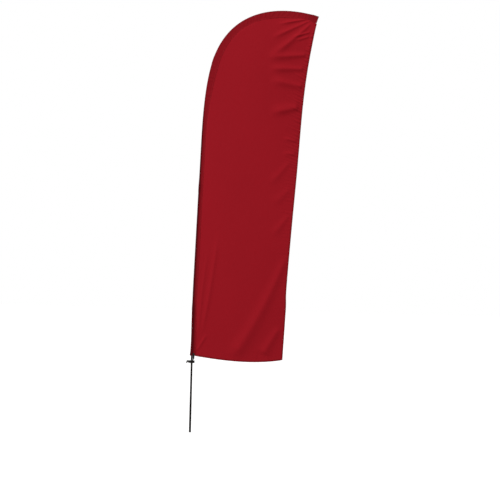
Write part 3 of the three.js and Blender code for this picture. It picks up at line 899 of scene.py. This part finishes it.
def stitch_bars(line, facing, pitch=6 * MM, length=4.6 * MM):
    """Rings of points round the stitches along a line of points, on the front or on the back."""
    starts = np.arange(pitch / 2, distances(line)[-1] - length, pitch)
    places = starts[:, None] + length * np.linspace(0, 1, len(STITCH_LIFT))
    middle = read_line(places, line)
    along = middle[:, -1:] - middle[:, :1]
    along = along / np.linalg.norm(along, axis=-1, keepdims=True)
    up = FRONT * facing
    side = np.cross(along, up)
    middle = middle + up * STITCH_LIFT[:, None]
    turn = np.linspace(0, 2 * np.pi, 5)[:-1] + np.pi / 4
    ring = up * np.sin(turn)[:, None] + side[:, :, None] * np.cos(turn)[:, None]
    return middle[:, :, None] + ring * STITCH_GIRTH[:, None, None]


def stitch_piece(name, rows, material=thread_red):
    """One piece of all the stitches in several rows, each with the arguments of stitch_bars."""
    bars = np.concatenate([stitch_bars(*row) for row in rows])
    count, rings, sides = bars.shape[:3]
    index = np.arange(count * rings * sides).reshape(count, rings, sides)
    beside = np.roll(index, -1, axis=2)
    quads = np.stack([index[:, :-1], beside[:, :-1], beside[:, 1:], index[:, 1:]], axis=-1)
    ends = [index[:, 0, ::-1].reshape(-1, 4), index[:, -1].reshape(-1, 4)]
    faces = np.vstack([quads.reshape(-1, 4), *ends])
    mesh = bpy.data.meshes.new(name)
    mesh.from_pydata(bars.reshape(-1, 3).tolist(), [], faces.tolist())
    return finish_piece(name, face_outwards(mesh), material, "flag")


def seam_rows(first, last, count, off):
    """The seam's two rows from first to last along the pole, on both faces."""
    s = np.linspace(first, last, count)
    rows = []
    for inward in SEAM_ROWS:
        x, z = beside_pole(s, seam_at(s) + inward)
        rows += [(together(x, -facing * off, z), facing) for facing in BOTH_FACES]
    return rows


def hem_rows(share_to, place):
    share = np.linspace(0.004, share_to - 0.002, 900)
    x, z, y = place(share, STITCH_INSET)
    return [(together(x, y - facing * 0.76 * MM, z), facing) for facing in BOTH_FACES]


def patch_row(s, facing):
    """A row round the cuff or the tip pocket at one place along the pole, from the seam to the pole."""
    x, y = sleeve_section(np.array([s]), PATCH_OUT, front_puckers if facing > 0 else back_puckers)
    points = x.shape[1]
    places = np.linspace(0, 0.78, 60) * (points - 1)
    across = np.interp(places, np.arange(points), x[0])
    off = np.interp(places, np.arange(points), y[0]) + PATCH_CLOTH / 2
    row_x, row_z = beside_pole(s, across)
    return together(row_x, -facing * off, row_z), facing


def patch_rows():
    """Rows round the cuff and round the tip pocket, and the seam's rows carried over them."""
    round_pole = (CUFF_TOP - 0.004, MOUTH + 0.004, POCKET_FROM + 0.004, POCKET_FROM + 0.009,
                  POCKET_TO - 0.004)
    rows = [patch_row(s, facing) for facing in BOTH_FACES for s in round_pole]
    for first, last in ((MOUTH + 0.002, CUFF_TOP - 0.002), (POCKET_FROM + 0.002, POCKET_TO - 0.003)):
        rows += seam_rows(first, last, 40, SEAM_HALF + PATCH_OUT + PATCH_CLOTH / 2)
    return rows


seam_stitches = stitch_piece(
    "seam_stitches", seam_rows(CUFF_TOP + 0.002, POCKET_FROM - 0.002, 1400, SEAM_HALF + CLOTH / 2))
hem_stitches = stitch_piece(
    "hem_stitches", hem_rows(TRAILING_HEM_TOP, trailing_place) + hem_rows(BOTTOM_HEM_END, foot_place))
patch_stitches = stitch_piece("patch_stitches", patch_rows())


# ---- The webbing tab that holds the loop's two ends ----

CORD_RADIUS = 2.5 * MM
CORD_END_X = (0.0126, 0.0185)
TAB_X = (0.0086, 0.0228)
TAB_BOTTOM = 0.63
TAB_TOP = MOUTH + 0.021
TAB_OPENS = (0.6445, 0.6565)     # the heights between which it spreads from the cords to the cuff
WEBBING_HALF = 0.65 * MM
TAB_SLIT = 0.1 * MM
HUMP_HALF = 2.2 * MM             # half the width over which the webbing lies round a cord end


def cuff_off(x, s):
    """How far the cuff's outside stands off the pole's plane at x."""
    depth = sleeve_depth(s) + PATCH_OUT
    seam = seam_at(s)
    start = np.arccos(depth / seam)
    share = np.clip((seam - x) / (seam - depth * np.cos(start)), 0, 1)
    flat = mix(SEAM_HALF + PATCH_OUT, depth * np.sin(start), share)
    return flat + FLAT_BULGE * np.sin(np.pi * share) + PATCH_CLOTH / 2


def tab_off(x, z):
    """The webbing lies over the two cord ends, and opens above them to pass over the cuff."""
    over_cords = np.full_like(x, WEBBING_HALF + TAB_SLIT)
    lies = CORD_RADIUS + WEBBING_HALF + 0.15 * MM
    for centre in CORD_END_X:
        off = np.abs(x - centre)
        hump = np.sqrt(np.clip(lies ** 2 - off ** 2, 0, None))
        slope = lies * 0.76 - (off - HUMP_HALF) * 1.9
        over_cords = np.maximum(over_cords, np.where(off < HUMP_HALF, hump, slope))
    over_cuff = cuff_off(x, np.maximum(z, MOUTH)) + WEBBING_HALF
    return mix(over_cords, over_cuff, smoothstep(z, *TAB_OPENS))


def make_tab(name, facing):
    columns = np.linspace(TAB_X[0] + TAB_SLIT, TAB_X[1] - TAB_SLIT, 27)
    x, z = np.meshgrid(columns, np.linspace(TAB_BOTTOM, TAB_TOP, 60))
    mesh = grid_mesh(together(x, -facing * tab_off(x, z), z), together(x, z))
    make_sheet(name, mesh, webbing, "loop_tab", 2 * WEBBING_HALF - TAB_SLIT)


def tab_rows():
    """A box of stitches with a cross in it on the cuff, and a bar tack above the cord ends."""
    left, right, low, high = 0.0108, 0.0203, 0.6595, 0.6738
    box = [(left, low), (right, low), (right, high), (left, high), (left, low), (right, high)]
    lines = [*zip(box, box[1:]), ((right, low), (left, high))]
    for k in range(3):
        lift = k * 0.9 * MM
        lines.append(((0.0102, 0.6455 + lift), (0.0209, 0.6459 + lift)))
    rows = []
    for (x0, z0), (x1, z1) in lines:
        x, z = np.linspace(x0, x1, 12), np.linspace(z0, z1, 12)
        off = tab_off(x, z) + WEBBING_HALF - TAB_SLIT
        rows += [(together(x, -facing * off, z), facing, 2.4 * MM, 1.9 * MM) for facing in BOTH_FACES]
    return rows


make_tab("tab_webbing_front", 1)
make_tab("tab_webbing_back", -1)
stitch_piece("tab_stitches", tab_rows(), webbing)


# ---- The elastic loop ----

LOOP_ROUTE = [
    (12.6, 0, 643), (12.6, 0, 637), (12.6, 0, 631), (12.6, -1.8, 625.8), (11, -9, 621),
    (4, -16.8, 616.5), (-8, -17.2, 610.5), (-20, -13.6, 604.5), (-27.5, -8.8, 599), (-29.5, 0, 595),
    (-27.5, 8.8, 599), (-20, 13.6, 604.5), (-8, 17.2, 610.5), (4, 16.8, 616.5), (14, 11, 620.5),
    (18.5, 2.6, 625.2), (18.5, 0, 631), (18.5, 0, 637), (18.5, 0, 643),
]


LOOP_SIDES = 24
LOOP_RINGS = 420
YARN_PROUD = 0.12 * MM


def centripetal(points):
    """A centripetal Catmull-Rom curve, as the CAD's loop follows."""
    known = np.array(points, float)
    padded = np.vstack([2 * known[0] - known[1], known, 2 * known[-1] - known[-2]])
    parts = []
    for p0, p1, p2, p3 in zip(padded, padded[1:], padded[2:], padded[3:]):
        d0, d1, d2 = (math.sqrt(np.linalg.norm(b - a)) for a, b in ((p0, p1), (p1, p2), (p2, p3)))
        leave = ((p1 - p0) / d0 - (p2 - p0) / (d0 + d1) + (p2 - p1) / d1) * d1
        arrive = ((p2 - p1) / d1 - (p3 - p1) / (d1 + d2) + (p3 - p2) / d2) * d1
        parts.append(hermite(p1, p2, leave, arrive, 40))
    return np.vstack(parts + [known[-1:]])


def make_loop():
    """Swept along its route, with the braid's two sets of yarns standing a little proud."""
    route = centripetal(LOOP_ROUTE) * MM
    rows = np.linspace(0, distances(route)[-1], LOOP_RINGS)
    middle = read_line(rows, route)
    along = np.gradient(middle, rows, axis=0)
    along /= np.linalg.norm(along, axis=1, keepdims=True)
    side = np.array([1.0, 0.0, 0.0])
    sides = []
    for heading in along:
        side = side - heading * side.dot(heading)
        side = side / np.linalg.norm(side)
        sides.append(side)
    sides = np.array(sides)
    ups = np.cross(along, sides)
    turn = np.linspace(0, 2 * np.pi, LOOP_SIDES + 1)
    yarn = 2 * np.pi * rows[:, None] / YARN_PITCH
    proud = np.maximum(np.sin(yarn + YARNS * turn), np.sin(yarn - YARNS * turn))
    radius = (CORD_RADIUS - YARN_PROUD + YARN_PROUD * proud)[:, :-1, None]
    ring = sides[:, None] * np.cos(turn[:-1])[:, None] + ups[:, None] * np.sin(turn[:-1])[:, None]
    coords = together(turn / (2 * np.pi), rows[:, None])
    mesh = grid_mesh(middle[:, None] + ring * radius, coords, wrap=True, capped=True)
    piece = finish_piece(
        "elastic_cord", face_outwards(mesh), braid, None, ["elastic_loop"])
    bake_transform(piece)


make_loop()


# ---- The pole's lowest tube, the butt socket and the bush ----

base_tube = finish_piece("base_tube", lathe_mesh([
    (7.3, 95), (8.85, 95), (9.05, 95.4), (7.2, 1049.6), (7.0, 1050), (6.4, 1050), (6.2, 1049.7),
    (7.1, 95.3)]), rod_black, "pole_base", ["base_section"])
finish_piece("butt_fitting", lathe_mesh([
    (7.0, 5.0), (7.4, 4.3), (8.6, 4.3), (9.2, 4.9), (9.17, 20), (8.9, 20.3), (8.9, 21.2), (9.16, 21.5),
    (9.14, 27), (8.87, 27.3), (8.87, 28.2), (9.13, 28.5), (9.07, 88), (8.9, 94.2), (8.5, 94.7),
    (6.7, 94.7), (6.7, 124), (6.3, 125), (5.3, 125), (5.0, 124.7), (5.0, 88.4), (5.4, 88), (7.0, 88)]),
    plastic_black, "pole_base", ["butt_socket"])
finish_piece("spindle_bush_body", lathe_mesh([
    (6.0, 0), (9.2, 0), (9.6, 0.15), (9.8, 0.6), (9.8, 3.4), (9.65, 3.85), (9.3, 4.0), (7.0, 4.0),
    (6.7, 4.3), (6.7, 83.4), (6.4, 84), (6.0, 84), (5.7, 83.6), (5.7, 0.4)]),
    nylon_grey, "spindle_bush", ["bearing_bush"])


# ---- The clamp collar and its screw: rounded solids joined and cut ----

COLLAR_Z = 0.603
SCREW_X = 17.2                   # in millimetres, as are the outlines and blocks below
DRUM_RADIUS = 13.5
DRUM_HALF = 12
BORE_RADIUS = 10.5
SCREW_HOLE = 2.8
SHANK_RADIUS = 2.4
THROUGH = 20                     # half the length of a cutter, more than what it cuts


def rounded(mesh, radius, angle=60):
    """Rounds the edges of a mesh that are sharper than an angle, by a radius in millimetres."""
    work = bmesh.new()
    work.from_mesh(mesh)
    bmesh.ops.recalc_face_normals(work, faces=work.faces[:])
    edges = [e for e in work.edges if e.calc_face_angle(0) > math.radians(angle)]
    bmesh.ops.bevel(work, geom=edges, offset=radius * MM, segments=3, profile=0.5, affect="EDGES",
                    clamp_overlap=True)
    work.to_mesh(mesh)
    work.free()
    return mesh


def block_mesh(low, high):
    work = bmesh.new()
    bmesh.ops.create_cube(work, size=1)
    low, high = np.array(low) * MM, np.array(high) * MM
    for vertex in work.verts:
        vertex.co = Vector(low + (np.array(vertex.co) + 0.5) * (high - low))
    mesh = bpy.data.meshes.new("block")
    work.to_mesh(mesh)
    work.free()
    return mesh


def plate_mesh(outline, y0, y1):
    """An outline of x and z, given a depth along Y."""
    flat = np.array(outline, float) * MM
    count = len(flat)
    front = [(x, y0 * MM, z) for x, z in flat]
    back = [(x, y1 * MM, z) for x, z in flat]
    sides = [(k, (k + 1) % count, count + (k + 1) % count, count + k) for k in range(count)]
    faces = [tuple(range(count))[::-1], tuple(range(count, 2 * count)), *sides]
    mesh = bpy.data.meshes.new("plate")
    mesh.from_pydata(front + back, [], faces)
    return mesh


def upright(mesh):
    """Turns a plate's depth from Y to Z."""
    mesh.transform(Matrix.Rotation(math.pi / 2, 4, "X"))
    return mesh


def disc_outline(x, z, radius, sides, first=0.0, last=2 * math.pi):
    whole = abs(last - first - 2 * math.pi) < 1e-9
    turn = np.linspace(first, last, sides, endpoint=not whole)
    return [(x + radius * math.cos(a), z + radius * math.sin(a)) for a in turn]


def arc_between(start, corner, end, steps=6):
    """A quadratic curve from start to end, pulled towards corner."""
    t = np.linspace(0, 1, steps)[:, None]
    a, b, c = (np.array(p, float) for p in (start, corner, end))
    return [tuple(p) for p in a * (1 - t) ** 2 + 2 * b * t * (1 - t) + c * t ** 2]


def combine(base, others, operation):
    """Joins other solids to an object, or cuts them from it."""
    for mesh in others:
        other = add_object("cutter", mesh)
        cut = base.modifiers.new(operation, "BOOLEAN")
        cut.operation = operation
        cut.solver = "EXACT"
        cut.object = other
        graph = bpy.context.evaluated_depsgraph_get()
        result = bpy.data.meshes.new_from_object(base.evaluated_get(graph))
        base.modifiers.clear()
        base.data = result
        bpy.data.objects.remove(other)
    return base


def moulded_piece(name, solid, x, body, node):
    """A finished solid, moved to its place, as a piece of black plastic."""
    mesh = solid.data
    mesh.transform(Matrix.Translation((x * MM, 0, COLLAR_Z)))
    face_outwards(mesh)
    bpy.data.objects.remove(solid)
    finish_piece(name, mesh, plastic_black, body, [node])
    mesh.set_sharp_from_angle(angle=math.radians(35))


def make_collar():
    """A drum with a hooked arm and two ears, bored for the pole, slit, and drilled for the screw."""
    drum = plate_mesh(disc_outline(0, 0, DRUM_RADIUS, 64), -DRUM_HALF, DRUM_HALF)
    drum = upright(rounded(drum, 1.1))
    tip, throat, root, under, lip = -45.5, -37.5, -25.5, -3.0, -14.5
    hook = [(-11, -11), (-11, 11), *arc_between((-36, 11), (tip, 11), (tip, 1), 9),
            *arc_between((tip, lip + 4), (tip, lip), (tip + 4, lip), 5),
            *arc_between((tip + 4, lip), (throat, lip), (throat, lip + 4), 5)[1:],
            *arc_between((throat, under - 3.5), (throat, under), (throat + 3.5, under), 5),
            *arc_between((root - 3.5, under), (root, under), (root, under - 3.5), 5), (root, -11)]
    arm = rounded(plate_mesh(hook, -4.5, 4.5), 0.9)
    ears = rounded(block_mesh((8, -8, -11), (24.5, 8, 11)), 1.2)
    collar = combine(add_object("collar", drum), [arm, ears], "UNION")
    bore = upright(plate_mesh(disc_outline(0, 0, BORE_RADIUS, 64), -THROUGH, THROUGH))
    slit = block_mesh((5, -1.2, -THROUGH), (30, 1.2, THROUGH))
    hole = plate_mesh(disc_outline(SCREW_X, 0, SCREW_HOLE, 32), -THROUGH, THROUGH)
    collar = combine(collar, [bore, slit, hole], "DIFFERENCE")
    moulded_piece("clamp_collar", collar, 0, "collar", "tension_collar")


def make_screw():
    """Two-winged knob with a domed hub, on its shank."""
    face = -8.3
    hub = rounded(plate_mesh(disc_outline(0, 0, 5, 40), face - 9, face), 0.8)
    wing = [*disc_outline(4.6, 0, 3, 14, -math.pi / 2, math.pi / 2),
            *disc_outline(-4.6, 0, 3, 14, math.pi / 2, 1.5 * math.pi)]
    wings = rounded(plate_mesh(wing, face - 9, face - 3), 0.9)
    shank = rounded(plate_mesh(disc_outline(0, 0, SHANK_RADIUS, 28), face - 1, 14), 0.4)
    knob = combine(add_object("knob", hub), [wings, shank], "UNION")
    moulded_piece("clamp_knob", knob, SCREW_X, "screw", "clamp_screw")


make_collar()
make_screw()


# ---- Materials of the CAD nodes that stay ----

KEPT = {
    "lower_mid_section": rod_black, "upper_mid_section": rod_black, "tip_section": rod_black,
    "lower_joint_ferrule": alloy, "middle_joint_ferrule": alloy, "upper_joint_ferrule": alloy,
    "tip_cap": plastic_black, "collar_liner": rubber, "clamp_nut": steel,
}
for node_name, material in KEPT.items():
    for node_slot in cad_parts[node_name].material_slots:
        node_slot.material = material
